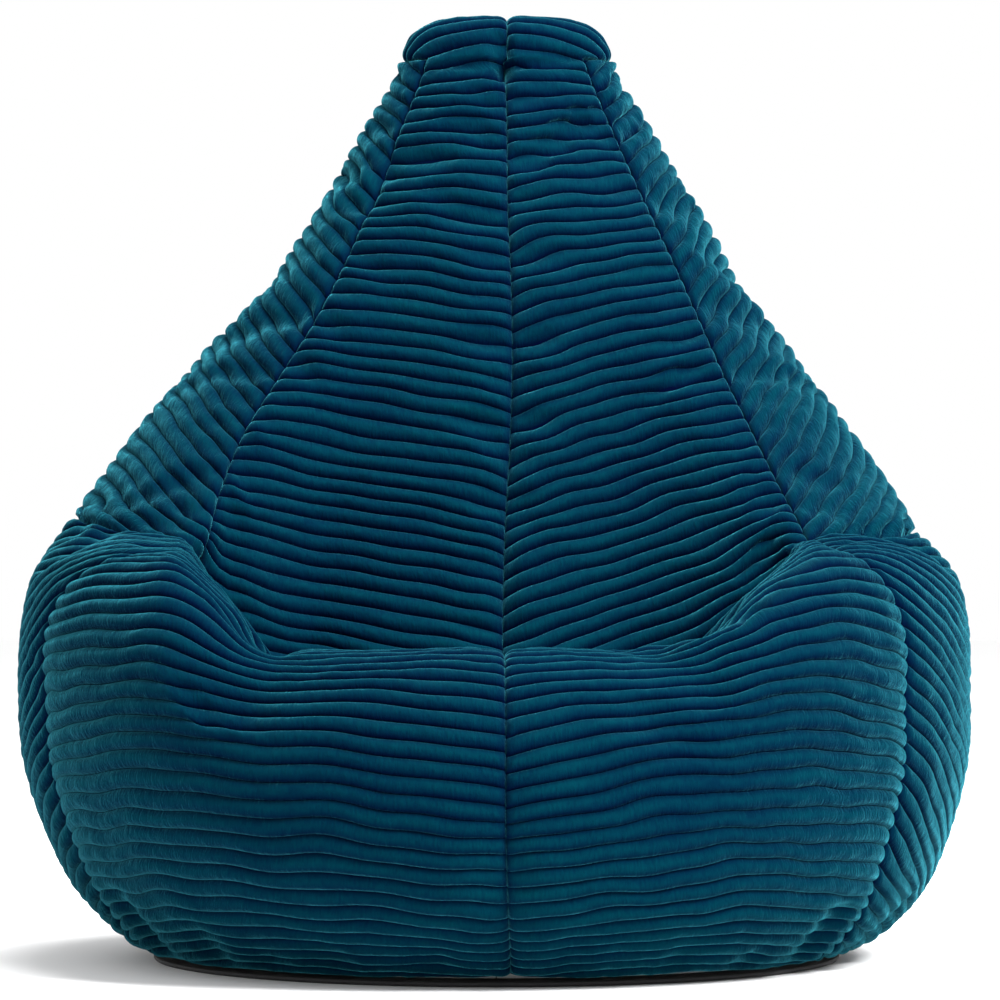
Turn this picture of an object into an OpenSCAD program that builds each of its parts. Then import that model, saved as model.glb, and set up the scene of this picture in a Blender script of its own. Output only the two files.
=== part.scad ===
// High-backed bean bag chair with two low arms and a seat pocket.
// Front is -Y, the sitter's left and right are +X and -X seen from the front, the floor is z = 0.
// Sewn cover panels over a liner in two halves, over one body of loose beads.

/* [Overall] */
// Width across the widest part of the sides
width = 888; // [780:4:960]
// Depth from the front of the seat to the rear
depth = 928; // [820:4:1000]
// Height from the floor to the top of the head
height = 910; // [800:4:960]

/* [Cloth] */
// Thickness of the corded cover cloth, from its backing to the tops of its wales
cover_t = 5; // [4:0.5:5.5]
// Thickness of the black base cloth with its seam allowance
base_t = 5; // [4:0.5:6]
// Thickness of the white liner cloth
liner_t = 1.2; // [1:0.1:1.3]
// Clear gap between one layer and the next
layer_gap = 0.8; // [0.7:0.1:0.9]

/* [Zips] */
// Width of the gap between the rear panels that the cover's zip closes
zip_slot = 14; // [13:0.5:16]
// Width of the gap between the liner's halves that the liner's zip closes
liner_slot = 10; // [9.6:0.2:11]
// Length of a slider's body
slider_l = 12; // [10:1:14]

/* [Carry handle] */
// Width of the handle's webbing
webbing_w = 38; // [30:1:45]
// Thickness of the webbing
webbing_t = 2; // [1.5:0.1:2.5]
// Length of the hanging loop below its stitching
loop_l = 116; // [100:1:130]
// Width of the loop's opening at its widest, outside to outside
loop_w = 36; // [32:1:44]
// Width of the stitched patch that holds both ends of the webbing
patch_w = 52; // [46:1:60]
// Height of the stitched patch
patch_h = 44; // [36:1:50]

/* [Care label] */
// Length of the blank label, from the seam to its free edge
label_l = 46; // [30:1:60]
// Height of the blank label
label_h = 30; // [20:1:40]

/* [Hidden] */

// Rear of the bag: one straight, slightly raked line that the zips and the handle follow.
REAR_Y = 463;      // y of the rear line at REAR_Z
REAR_Z = 240;
REAR_RAKE = 0.115; // how far the line comes forward for each unit of height
function rear_line(z) = REAR_Y - REAR_RAKE * (z - REAR_Z);

// The bag's sections from the base edge to the crown, at the nominal size in millimetres.
// Each row: half width, front y, middle y, rear y, then the height at the front, side and rear.
SECTIONS = [
    [322, -350, -5, 376, 0, 0, 0],           // base edge
    [352, -385, 0, 402, 24, 20, 22],
    [390, -426, 5, 432, 62, 60, 60],
    [419, -453, 8, 452, 108, 120, 115],
    [437, -463, 10, 461, 152, 185, 175],     // foremost part of the belly
    [444, -456, 12, 463, 198, 250, 240],     // widest part, foot of the zip
    [443, -436, 16, rear_line(300), 242, 305, 300],
    [434, -400, 22, rear_line(351), 280, 351, 351],
    [420, -342, 28, rear_line(392), 298, 382, 392],     // crest of the seat roll and the arms
    [410, -268, 40, rear_line(417), 283, 393, 417],
    [405, -190, 50, rear_line(434), 240, 400, 434],     // seat pocket
    [400, -118, 60, rear_line(450), 205, 407, 450],     // crease where seat and backrest meet
    [392, -84, 75, rear_line(467), 246, 427, 467],
    [368, -32, 110, rear_line(495), 325, 466, 495],
    [335, 16, 145, rear_line(532), 407, 511, 532],
    [297, 54, 178, rear_line(572), 485, 557, 572],
    [255, 88, 208, rear_line(617), 562, 609, 617],      // head of the zip
    [214, 124, 238, rear_line(674), 642, 670, 674],
    [176, 168, 268, rear_line(737), 723, 735, 737],
    [143, 211, 292, rear_line(796), 794, 796, 796],
    [118, 238, 308, 388, 841, 841, 841],
    [107, 249, 314, 380, 867, 867, 867],     // edge of the head
    [95, 260, 316, 369, 892, 892, 892],
    [70, 280, 318, 350, 906, 906, 906],
    [34, 302, 319, 334, 910, 910, 910],
    [0, 319, 319, 319, 910, 910, 910],       // crown
];
CREASE = 11;       // section where the seat meets the backrest, and the sides meet the wings
ZIP_FOOT = 5;      // section at the foot of the zip
ZIP_HEAD = 16;     // section at the head of the zip, below the hanging loop
LINER_FOOT = 7;    // sections at the foot and the head of the liner's zip
LINER_HEAD = 15;
CAP = 21;          // section where the backrest panels turn over the top of the head
CROWN = len(SECTIONS) - 1;
SLOT_END = 0.06;   // share of a section over which the zip's slot closes

// Azimuth of the seam between face and side at each section: 0 is the front, 90 the side.
SIDE_SEAM = [70, 68, 66, 65, 65, 64.5, 63, 60, 55.5, 50, 45.5, 42, 42.5, 43.5, 44.5, 45.5, 46.5,
    47.5, 48.5, 49.5, 50, 50, 50, 50, 50, 50];
REAR_SEAM = 125;   // azimuth of the seam between side and rear
LOW_FRONT = 18;    // azimuths between which the low front rises to the arms
LOW_SIDE = 46;
LOW_SHARE = 0.92;  // share of that rise within those azimuths; the rest comes by the side
REAR_RISE = 150;   // azimuth by which the side's height has become the rear's

// Columns of the surface grid: face, side and rear of one half.
FACE_N = 5;
SIDE_N = 7;
REAR_N = 5;
COLS = FACE_N + SIDE_N + REAR_N;
SIDE_COL = FACE_N;
REAR_COL = FACE_N + SIDE_N;

// Rows of the grid as places between sections; row 0 is the middle of the underside.
ROWS = concat([-1, 0, 1, 2, 3, 4, ZIP_FOOT - SLOT_END, 5, 6], [for (v = [6.5:0.5:12]) v],
    [for (v = [13:ZIP_HEAD]) v], [ZIP_HEAD + SLOT_END, 17, 18, 19, 20, 21, 22, 22.5, 23, 24, 25]);
LAST_ROW = len(ROWS) - 1;
function row_of(v) = search(v, ROWS)[0];

SEAM_GAP = 0.06;   // degrees, and SEAM_STEP of a section: half the gap between sewn panels
SEAM_STEP = 0.008;
EDGE_INSET = 1.3;  // the layers step in this much more than their depth at the sharp base edge

NOMINAL = [888, 928, 910];
SIZE = [width / NOMINAL[0], depth / NOMINAL[1], height / NOMINAL[2]];

// Smooth curve through the sections: Catmull-Rom between section k and k + 1.
function ease(a, b, u) = let (s = min(1, max(0, (u - a) / (b - a)))) s * s * (3 - 2 * s);
function spline(p0, p1, p2, p3, u) = p1 + (p2 - p0) * u / 2
    + (2 * p0 - 5 * p1 + 4 * p2 - p3) * u * u / 2 + (3 * p1 - p0 - 3 * p2 + p3) * u * u * u / 2;
function clamp_row(k) = min(CROWN, max(0, k));
function along(table, v) = let (k = min(CROWN - 1, max(0, floor(v))))
    spline(table[clamp_row(k - 1)], table[k], table[k + 1], table[clamp_row(k + 2)], v - k);

// A point of the bag's outside at azimuth a of the +X half and place v between sections.
function skin(a, v) = let (s = along(SECTIONS, v),
        reach = a < 90 ? s[2] - s[1] : s[3] - s[2],
        rise = LOW_SHARE * ease(LOW_FRONT, LOW_SIDE, a) + (1 - LOW_SHARE) * ease(LOW_SIDE, 90, a),
        front_z = s[4] + (s[5] - s[4]) * rise,
        z = a < 90 ? front_z : s[5] + (s[6] - s[5]) * ease(90, REAR_RISE, a))
    [s[0] * sin(a) * SIZE[0], (s[2] - reach * cos(a)) * SIZE[1], z * SIZE[2]];
function unit(p) = p / norm(p);
function outward(a, v) = unit(cross(skin(a + 0.5, v) - skin(a - 0.5, v),
    skin(a, v + 0.02) - skin(a, v - 0.02)));
function azimuth(c, v) = let (seam = along(SIDE_SEAM, v))
    c <= SIDE_COL ? seam * c / FACE_N
    : c <= REAR_COL ? seam + (REAR_SEAM - seam) * (c - SIDE_COL) / SIDE_N
    : REAR_SEAM + (180 - REAR_SEAM) * (c - REAR_COL) / REAR_N;

// A point of a layer that lies deep below the outside and has its underside at floor_z.
function layer_point(a, v, deep, floor_z) =
    v < 0 ? [0, skin(90, 0)[1], floor_z]
    : v == 0 ? let (p = skin(a, 0), q = unit([p[0], p[1] - skin(90, 0)[1], 0]))
        [p[0] - q[0] * deep * EDGE_INSET, p[1] - q[1] * deep * EDGE_INSET, floor_z]
    : v >= CROWN ? skin(90, CROWN) - [0, 0, deep]
    : skin(a, v) - deep * outward(a, v);

COVER_FLOOR = base_t + layer_gap;
LINER_OUT = cover_t + layer_gap;
LINER_IN = LINER_OUT + liner_t;
LINER_FLOOR = COVER_FLOOR + layer_gap;
FILL_OUT = LINER_IN + layer_gap;
FILL_FLOOR = LINER_FLOOR + liner_t + layer_gap;
FILL_GROOVE = 5;   // extra depth of the beads behind the zips

// Zip parts, measured outwards from the outside of the cover and sideways from the rear seam.
TAPE_OUT = -2.2;   // outer face of the tape
TAPE_T = 0.6;
TAPE_X = 0.6;      // inner edge of a tape
COIL_GAP = 0.1;    // between tape and coil
COIL_T = 2.2;
COIL_X = [0.45, 3.2];
STOP_L = 4;        // a stop's length, and its distance from the end of the tape
STOP_X = 4.4;
SLIDER_X = 4.7;    // half width of the slider
SLIDER_T = 1;
SLIDER_GAP = 0.35; // between the slider and what it runs over
POST_X = 0.2;      // half width of the slider's post, which runs between the tapes
POST_L = 3;
LINER_TAPE_OUT = -6.2;
LINER_TAPE_T = 0.5;
LINER_COIL_T = 0.9;
LINER_SLIDER_X = 3.9;
LINER_PLATE_T = 0.6;
ZIP_END = 12;      // free length at each end of a zip, beyond the slider's travel

// Carry handle, on the rear seam near the top.
HANDLE_Z = 756;    // lower edge of the patch at the nominal size
PATCH_T = 2;
PATCH_OFF = 0.5;
LOOP_OFF = 1.2;    // between the cover and the hanging loop
LOOP_GAP = 1.5;    // between the patch and the loop
HINGE_DOWN = 2.2;  // the loop's bending line below its upper edge
LABEL_T = 0.7;
LABEL_OFF = 2.2;   // between the seam and the label
LABEL_AT = 5;      // section at the middle of the label

// The faces of a closed sheet: cells of rows r0 to r1 and columns from c0 to end(r), which
// is c1 below row cap and c2 above it. The outside points come first, then the inside ones.
function row_start(r, r0, c0, c1, cap, c2) = r <= cap ? (r - r0) * (c1 - c0 + 1)
    : (cap - r0) * (c1 - c0 + 1) + (r - cap) * (c2 - c0 + 1);
function wall(p, q, n) = p < q ? [[p, q, p + n], [q, q + n, p + n]]
    : [[p, q, q + n], [p, q + n, p + n]];

module sheet(r0, r1, c0, c1, out, inside, floor_z, floor_in, cap = 999, c2 = 0, slot = [0, 0, 0]) {
    bottom_pole = ROWS[r0] < 0;
    top_pole = r1 == LAST_ROW;
    function last(r) = r < cap ? c1 : c2;
    function id(r, c) = let (s = row_start(r, r0, c0, c1, cap, c2)
        - (bottom_pole && r > r0 ? last(r0) - c0 : 0))
        (bottom_pole && r == r0) || (top_pole && r == r1) ? s : s + c - c0;
    n = id(r1, last(r1)) + 1;
    function shift_a(r, c) = c == c0 ? SEAM_GAP : c == last(r) && (r < cap || c == COLS) ? -SEAM_GAP : 0;
    function shift_v(r, c) = r == r0 && ROWS[r] > 0 ? SEAM_STEP
        : r == r1 && !top_pole ? -SEAM_STEP : r == cap && c >= c1 ? SEAM_STEP : 0;
    function in_slot(p, v) = v > slot[1] - SLOT_END / 2 && v < slot[2] + SLOT_END / 2
        ? [max(slot[0], p[0]), p[1], p[2]] : p;
    function one(r, c, deep, z) = let (v = ROWS[r] + shift_v(r, c))
        in_slot(layer_point(azimuth(c, v) + shift_a(r, c), v, deep, z), v);
    function level(deep, z) = [for (r = [r0:r1]) let (pole = (bottom_pole && r == r0)
        || (top_pole && r == r1)) for (c = [c0:pole ? c0 : last(r)]) one(r, c, deep, z)];
    cells = [for (r = [r0:r1 - 1]) for (c = [c0:last(r) - 1]) let (a = id(r, c),
        b = id(r, c + 1), d = id(r + 1, c + 1), e = id(r + 1, c))
        each [if (a != b) [a, d, b], if (d != e) [a, e, d]]];
    foot = bottom_pole ? [] : [for (c = [c0:c1 - 1]) each wall(id(r0, c), id(r0, c + 1), n)];
    shelf = cap > r1 ? [] : [for (c = [c1:c2 - 1]) each wall(id(cap, c), id(cap, c + 1), n)];
    top = top_pole ? [] : [for (c = [c0:c1 - 1]) each wall(id(r1, c + 1), id(r1, c), n)];
    start = [for (r = [r0:r1 - 1]) each wall(id(r + 1, c0), id(r, c0), n)];
    end = [for (r = [r0:r1 - 1]) each wall(id(r, last(r)), id(r + 1, last(r)), n)];
    polyhedron(concat(level(out, floor_z), level(inside, floor_in)),
        concat(cells, [for (f = cells) [f[0] + n, f[2] + n, f[1] + n]],
            [for (f = concat(foot, shelf, top, start, end)) f]));
}

module cover_panel(r0, r1, c0, c1, cap = 999, c2 = 0, slot = [0, 0, 0])
    sheet(r0, r1, c0, c1, 0, cover_t, COVER_FLOOR, COVER_FLOOR, cap, c2, slot);
module left_side() mirror([1, 0, 0]) children();

// The rear seam's frame: origin on the outside at section v, +Y outwards and +Z up the seam.
function rake() = let (a = skin(180, ZIP_FOOT), b = skin(180, ZIP_HEAD)) atan((a[1] - b[1]) / (b[2] - a[2]));
function seam_length(v, w) = norm(skin(180, w) - skin(180, v));
module on_rear(p) translate(p) rotate([rake(), 0, 0]) children();
module block(x0, x1, y0, y1, z0, z1) translate([x0, y0, z0]) cube([x1 - x0, y1 - y0, z1 - z0]);

module base_panel() {
    half = [for (c = [0:COLS]) skin(azimuth(c, 0), 0)];
    color([0.03, 0.03, 0.035]) linear_extrude(base_t) polygon(concat(
        [for (p = half) [p[0], p[1]]], [for (c = [COLS - 1:-1:1]) [-half[c][0], half[c][1]]]));
}
module seat_panel_right() color([0.02, 0.27, 0.34])
    cover_panel(row_of(0), row_of(CREASE), 0, SIDE_COL);
module seat_panel_left() left_side() seat_panel_right();
module side_panel_right() color([0.03, 0.24, 0.31])
    cover_panel(row_of(0), row_of(CREASE), SIDE_COL, REAR_COL);
module side_panel_left() left_side() side_panel_right();
module backrest_panel_right() color([0.02, 0.25, 0.33])
    cover_panel(row_of(CREASE), LAST_ROW, 0, SIDE_COL, row_of(CAP), COLS);
module backrest_panel_left() left_side() backrest_panel_right();
module wing_panel_right() color([0.03, 0.29, 0.36])
    cover_panel(row_of(CREASE), row_of(CAP), SIDE_COL, REAR_COL);
module wing_panel_left() left_side() wing_panel_right();
module rear_panel_right() color([0.02, 0.22, 0.3])
    cover_panel(row_of(0), row_of(CAP), REAR_COL, COLS, slot = [zip_slot / 2, ZIP_FOOT, ZIP_HEAD]);
module rear_panel_left() left_side() rear_panel_right();

module inner_liner_right() color([0.92, 0.92, 0.9]) sheet(0, LAST_ROW, 0, COLS, LINER_OUT, LINER_IN,
    LINER_FLOOR, LINER_FLOOR + liner_t, slot = [liner_slot / 2, LINER_FOOT, LINER_HEAD]);
module inner_liner_left() left_side() inner_liner_right();

// The loose beads, taken as one body that fills the liner.
module bead_filling() {
    ring = 2 * COLS;
    function bead_point(r, c) = let (v = ROWS[r], near = min(c, ring - c),
        p = layer_point(azimuth(near, v), v, FILL_OUT
            + (c == COLS && v > ZIP_FOOT - 1 && v < ZIP_HEAD + 1 ? FILL_GROOVE : 0), FILL_FLOOR))
        [c > COLS ? -p[0] : p[0], p[1], p[2]];
    function id(r, c) = r == 0 ? 0 : r == LAST_ROW ? 1 + (LAST_ROW - 1) * ring
        : 1 + (r - 1) * ring + c % ring;
    points = [for (r = [0:LAST_ROW]) for (c = [0:r == 0 || r == LAST_ROW ? 0 : ring - 1]) bead_point(r, c)];
    faces = [for (r = [0:LAST_ROW - 1]) for (c = [0:ring - 1]) let (a = id(r, c), b = id(r, c + 1),
        d = id(r + 1, c + 1), e = id(r + 1, c), flip = c >= COLS)
        each flip ? [if (a != b) [a, e, b], if (d != e) [b, e, d]]
            : [if (a != b) [a, d, b], if (d != e) [a, e, d]]];
    color([0.97, 0.97, 0.97]) polyhedron(points, faces);
}

module zip_tape_right() color([0.05, 0.05, 0.06]) on_rear(skin(180, ZIP_FOOT))
    block(TAPE_X, zip_slot / 2 - 0.25, TAPE_OUT - TAPE_T, TAPE_OUT, 0, seam_length(ZIP_FOOT, ZIP_HEAD));
module zip_tape_left() left_side() zip_tape_right();

COIL_Y = TAPE_OUT + COIL_GAP;
module zip_coil_right() color([0.08, 0.08, 0.09]) on_rear(skin(180, ZIP_FOOT))
    translate([0, 0, STOP_L * 2 + 0.5]) linear_extrude(seam_length(ZIP_FOOT, ZIP_HEAD) - STOP_L * 4 - 1)
        polygon([[COIL_X[0], COIL_Y], [COIL_X[1], COIL_Y], [COIL_X[1], COIL_Y + COIL_T * 0.6],
            [COIL_X[1] - 0.9, COIL_Y + COIL_T], [COIL_X[0], COIL_Y + COIL_T]]);
module zip_coil_left() left_side() zip_coil_right();
module zip_stop(from) color([0.1, 0.1, 0.11]) on_rear(skin(180, ZIP_FOOT))
    block(-STOP_X, STOP_X, COIL_Y, COIL_Y + COIL_T, from, from + STOP_L);
module zip_stop_lower() zip_stop(STOP_L);
module zip_stop_upper() zip_stop(seam_length(ZIP_FOOT, ZIP_HEAD) - STOP_L * 2);

// A slider without a pull tab: a flanged plate over the coils and a plate under the tapes,
// joined by a post at its upper end. Measures are half width, plate thickness, tape and coil.
module slider(x, t, tape_out, tape_t, coil_out, coil_x) {
    top = coil_out + SLIDER_GAP;
    under = tape_out - tape_t - SLIDER_GAP;
    block(-x, x, top, top + t, 0, slider_l);
    for (side = [-1, 1])
        translate([side * (x + coil_x + SLIDER_GAP) / 2, 0, 0])
            block(-(x - coil_x - SLIDER_GAP) / 2, (x - coil_x - SLIDER_GAP) / 2,
                tape_out + SLIDER_GAP, top + t / 2, 1, slider_l - 1);
    block(-x, x, under - t, under, 0.5, slider_l - 0.5);
    block(-POST_X, POST_X, under - t / 2, top + t / 2, slider_l - POST_L - 1, slider_l - 1);
}
module zip_slider() color([0.3, 0.3, 0.32]) on_rear(skin(180, ZIP_FOOT)) translate([0, 0, ZIP_END]) {
    coil_out = COIL_Y + COIL_T;
    slider(SLIDER_X, SLIDER_T, TAPE_OUT, TAPE_T, coil_out, COIL_X[1]);
    bail = coil_out + SLIDER_GAP + SLIDER_T;
    difference() {
        block(-1.1, 1.1, bail - 0.2, bail + 2, 2.5, slider_l - 2.5);
        block(-2, 2, bail, bail + 1.2, 4, slider_l - 4);
    }
}

LINER_COIL_OUT = LINER_TAPE_OUT + LINER_COIL_T;
module liner_zip_half_right() color([0.85, 0.85, 0.84]) on_rear(skin(180, LINER_FOOT))
    linear_extrude(seam_length(LINER_FOOT, LINER_HEAD)) polygon([
        [COIL_X[0], LINER_TAPE_OUT - LINER_TAPE_T], [liner_slot / 2 - 0.25, LINER_TAPE_OUT - LINER_TAPE_T],
        [liner_slot / 2 - 0.25, LINER_TAPE_OUT], [COIL_X[1] - 0.6, LINER_TAPE_OUT],
        [COIL_X[1] - 0.6, LINER_COIL_OUT - 0.3], [COIL_X[1] - 1, LINER_COIL_OUT],
        [COIL_X[0], LINER_COIL_OUT]]);
module liner_zip_half_left() left_side() liner_zip_half_right();
module liner_zip_slider() color([0.7, 0.7, 0.7]) on_rear(skin(180, LINER_FOOT)) translate([0, 0, ZIP_END])
    slider(LINER_SLIDER_X, LINER_PLATE_T, LINER_TAPE_OUT, LINER_TAPE_T, LINER_COIL_OUT, COIL_X[1] - 0.6);

// Height z of the nominal bag, as a point on the rear line.
function on_line(z) = let (a = skin(180, ZIP_FOOT), b = skin(180, ZIP_HEAD),
    u = (z * SIZE[2] - a[2]) / (b[2] - a[2])) a + (b - a) * u;
module handle_patch() color([0.04, 0.2, 0.26]) on_rear(on_line(HANDLE_Z))
    block(-patch_w / 2, patch_w / 2, PATCH_OFF, PATCH_OFF + PATCH_T, 0, patch_h);

// The hanging loop of webbing, a teardrop seen from the side: a straight leg along the bag, a
// round bottom, and a slanting leg back to the stitching. Coordinates: outwards, down.
module carry_loop() {
    r = loop_w / 2;
    mid = [LOOP_OFF + r, loop_l - r];
    tip = [LOOP_OFF + 2 * webbing_t, 0];
    to_tip = tip - mid;
    turn = atan2(to_tip[1], to_tip[0]) + acos(r / norm(to_tip));
    out = [cos(turn), sin(turn)];
    leg = unit(tip - mid - r * out);
    touch = mid + (r - webbing_t) * out;
    inner_x = LOOP_OFF + webbing_t;
    apex = touch + leg * (inner_x - touch[0]) / leg[0];
    arc = [for (i = [0:16]) turn + (180 - turn) * i / 16];
    function round_bottom(q) = [for (a = arc) mid + q * [cos(a), sin(a)]];
    function down(points) = [for (p = points) [p[0], -p[1]]];
    color([0.05, 0.05, 0.06]) on_rear(on_line(HANDLE_Z)) translate([-webbing_w / 2, 0, -LOOP_GAP])
        rotate([90, 0, 90]) linear_extrude(webbing_w) difference() {
            polygon(down(concat([tip], round_bottom(r), [[LOOP_OFF, 0]])));
            polygon(down(concat([apex], round_bottom(r - webbing_t))));
        }
}

// A blank label, sewn into the rear seam of the right side near the floor.
module care_label() {
    p = skin(REAR_SEAM, LABEL_AT);
    n = outward(REAR_SEAM, LABEL_AT);
    color([0.93, 0.93, 0.91]) translate(p) rotate([0, 0, atan2(n[1], n[0])])
        block(LABEL_OFF, LABEL_OFF + LABEL_T, 0.5, label_l, -label_h / 2, label_h / 2);
}

base_panel();
seat_panel_left();
seat_panel_right();
side_panel_left();
side_panel_right();
backrest_panel_left();
backrest_panel_right();
wing_panel_left();
wing_panel_right();
rear_panel_left();
rear_panel_right();
inner_liner_left();
inner_liner_right();
bead_filling();
zip_tape_left();
zip_tape_right();
zip_coil_left();
zip_coil_right();
zip_stop_lower();
zip_stop_upper();
zip_slider();
liner_zip_half_left();
liner_zip_half_right();
liner_zip_slider();
handle_patch();
carry_loop();
care_label();
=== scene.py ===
import time
import bpy
import bmesh
import numpy as np
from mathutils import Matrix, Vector


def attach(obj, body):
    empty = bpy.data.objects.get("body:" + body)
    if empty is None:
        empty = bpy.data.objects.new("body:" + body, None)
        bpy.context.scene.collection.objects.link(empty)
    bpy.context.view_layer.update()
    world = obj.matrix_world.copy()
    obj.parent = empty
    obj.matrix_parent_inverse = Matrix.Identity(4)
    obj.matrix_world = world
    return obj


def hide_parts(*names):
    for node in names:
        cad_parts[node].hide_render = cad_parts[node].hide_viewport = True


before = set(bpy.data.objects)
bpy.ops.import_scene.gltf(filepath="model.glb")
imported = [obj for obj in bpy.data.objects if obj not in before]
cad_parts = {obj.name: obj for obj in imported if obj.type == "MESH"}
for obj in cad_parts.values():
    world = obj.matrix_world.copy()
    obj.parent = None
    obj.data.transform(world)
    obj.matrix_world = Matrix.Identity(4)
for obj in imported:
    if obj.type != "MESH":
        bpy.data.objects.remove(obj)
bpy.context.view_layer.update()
started = time.time()
mm = 0.001
sideName = {-1: "left", 1: "right"}

# The bag's shape, in millimetres. Sections run from the base edge up to the crown.
bag = {
    # half width, front y, middle y, rear y, front z, side z, rear z
    "sections": [
        [322, -350, -5, 376, 0, 0, 0], [357, -385, 0, 402, 24, 20, 22], [391, -426, 5, 432, 62, 60, 60],
        [421, -453, 8, 452, 108, 120, 115], [441, -463, 10, 461, 152, 185, 175],
        [444, -456, 12, 463, 198, 250, 240], [443, -436, 16, 456.1, 242, 305, 300],
        [434, -400, 22, 450.2, 280, 351, 351], [420, -342, 28, 445.5, 298, 382, 392],
        [410, -268, 40, 442.6, 283, 393, 417], [405, -190, 50, 440.7, 240, 400, 434],
        [400, -118, 60, 438.9, 205, 407, 450], [392, -84, 75, 436.9, 246, 427, 467],
        [368, -32, 110, 433.7, 325, 466, 495], [335, 16, 145, 429.4, 407, 511, 532],
        [297, 54, 178, 424.8, 485, 557, 572], [255, 88, 208, 419.6, 562, 609, 617],
        [214, 124, 238, 413.1, 642, 670, 674], [176, 168, 268, 405.8, 723, 735, 737],
        [143, 211, 292, 399.1, 794, 796, 796], [118, 238, 308, 388, 841, 841, 841],
        [107, 249, 314, 380, 867, 867, 867], [95, 260, 316, 369, 892, 892, 892],
        [70, 280, 318, 350, 906, 906, 906], [34, 302, 319, 334, 910, 910, 910],
        [0, 319, 319, 319, 910, 910, 910]],
    "crease": 11, "cap": 21, "crown": 25,
    # sideways shift of each section
    "lean": [2, 5, 6, 3, 1] + [0] * 10 + [3, 8, 12, 13, 13, 13, 12, 12, 12, 12, 12],
    "seamX": [14.5, 14, 12.5, 11, 10, 10, 10, 9.5, 9, 8.5, 8, 8, 8, 8, 10, 14.5, 17, 16, 12.5, 12,
              10.5, 8, 5, 6, 9, 12],  # the front centre seam's x
    # azimuth of the seam between face and side below the crease and above it
    "lowerSeam": {-1: [76, 73, 71, 70, 69.5, 70.5, 71.5, 67, 58, 48, 39, 35],
                  1: [63, 60.5, 59, 58.5, 58.5, 58.5, 59, 57.5, 54, 51, 49, 46.9]},
    "upperSeam": {-1: [41.6] * 12 + [42.3, 43.8, 44.9, 45.2, 46, 47.2, 48.3, 49, 50, 50, 50, 50, 50, 50],
                  1: [46.9] * 12 + [46.5, 46.2, 46.8, 47.5, 48.7, 49, 48, 47, 47, 47, 47, 47, 47, 47]},
    "armRise": {-1: (26, 46), 1: (17, 48)}, "riseShare": 0.92,
    # lifts: side, azimuth, section, spread of both, height
    "lifts": [(-1, 70, 10.7, 36, 1.0, 9), (1, 97, 10.8, 28, 2.6, -9), (1, 46, 11, 12, 1.5, 6)],
    "rearSeam": 125, "rearRise": 150, "slot": 7, "slotRows": (5, 16)}

# Folds: a line from one point to another, its half width and how far it stands out; then hollows
folds = [((84, 225, 802), (43, 205, 749), 16, -8), ((-102, 210, 765), (-118, 200, 715), 15, -7),
         ((-150, -105, 225), (-262, -70, 380), 16, -27), ((150, -105, 225), (255, -75, 370), 13, -13),
         ((5, 262, 884), (7, 246, 850), 9, -13), ((7, 246, 853), (80, 258, 866), 7, -5),
         ((7, 246, 855), (-62, 250, 862), 7, -3)]

cord = {"pitch": 16.3, "depth": 5.2, "endLength": 11, "seamDepth": 7.2, "inner": 8.2, "tuck": 0.05, "leastRise": 0.35,
        "samples": 500, "phases": [0, 0.03, 0.08, 0.16, 0.27, 0.4, 0.5, 0.6, 0.73, 0.84, 0.92, 0.97], "step": 5.0}


def ease(a, b, u):  # smooth step from 0 at a to 1 at b
    s = np.clip((u - a) / (b - a), 0, 1)
    return s * s * (3 - 2 * s)


def unit(p):
    return p / np.maximum(np.linalg.norm(p, axis=-1, keepdims=True), 1e-12)


def cubic(t):  # Catmull-Rom weights of the four neighbours
    return [(-t + 2 * t**2 - t**3) / 2, (2 - 5 * t**2 + 3 * t**3) / 2, (t + 4 * t**2 - 3 * t**3) / 2, (t**3 - t**2) / 2]


def rowsAt(table, v):  # smooth curve through the table's rows, read at place v
    t = np.asarray(table, float)
    v = np.clip(v, 0, len(t) - 1 - 1e-9)
    k = np.floor(v).astype(int)
    shape = v.shape + (1,) * (t.ndim - 1)
    return sum(w.reshape(shape) * t[np.clip(k + d, 0, len(t) - 1)] for d, w in zip((-1, 0, 1, 2), cubic(v - k)))


def gridAt(table, x, y):  # smooth surface through a grid's points, read at column x and row y
    t = np.asarray(table, float)
    x, y = np.clip(x, 0, t.shape[0] - 1 - 1e-9), np.clip(y, 0, t.shape[1] - 1 - 1e-9)
    i, j = np.floor(x).astype(int), np.floor(y).astype(int)
    out, extra = 0, (1,) * (t.ndim - 2)
    for di, wi in zip((-1, 0, 1, 2), cubic(x - i)):
        for dj, wj in zip((-1, 0, 1, 2), cubic(y - j)):
            near = t[np.clip(i + di, 0, t.shape[0] - 1), np.clip(j + dj, 0, t.shape[1] - 1)]
            out = out + (wi * wj).reshape(x.shape + extra) * near
    return out


def ripple(p, wavelength, seed, waves=9):  # smooth random waves: a sum of sines in random directions
    rng = np.random.default_rng(seed)
    k = rng.normal(size=(waves, p.shape[-1]))
    k *= (2 * np.pi / wavelength * rng.uniform(0.6, 1.5, waves) / np.linalg.norm(k, axis=1))[:, None]
    return np.sin(p @ k.T + rng.uniform(0, 6.3, waves)).sum(-1) / np.sqrt(waves / 2)


sections = np.array(bag["sections"], float)
seamAzimuth = np.degrees(np.arcsin((np.array(bag["seamX"]) - bag["lean"])[:-1] / sections[:-1, 0]))
seamAzimuth = np.append(seamAzimuth[:-1], [seamAzimuth[-2]] * 2)


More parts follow.
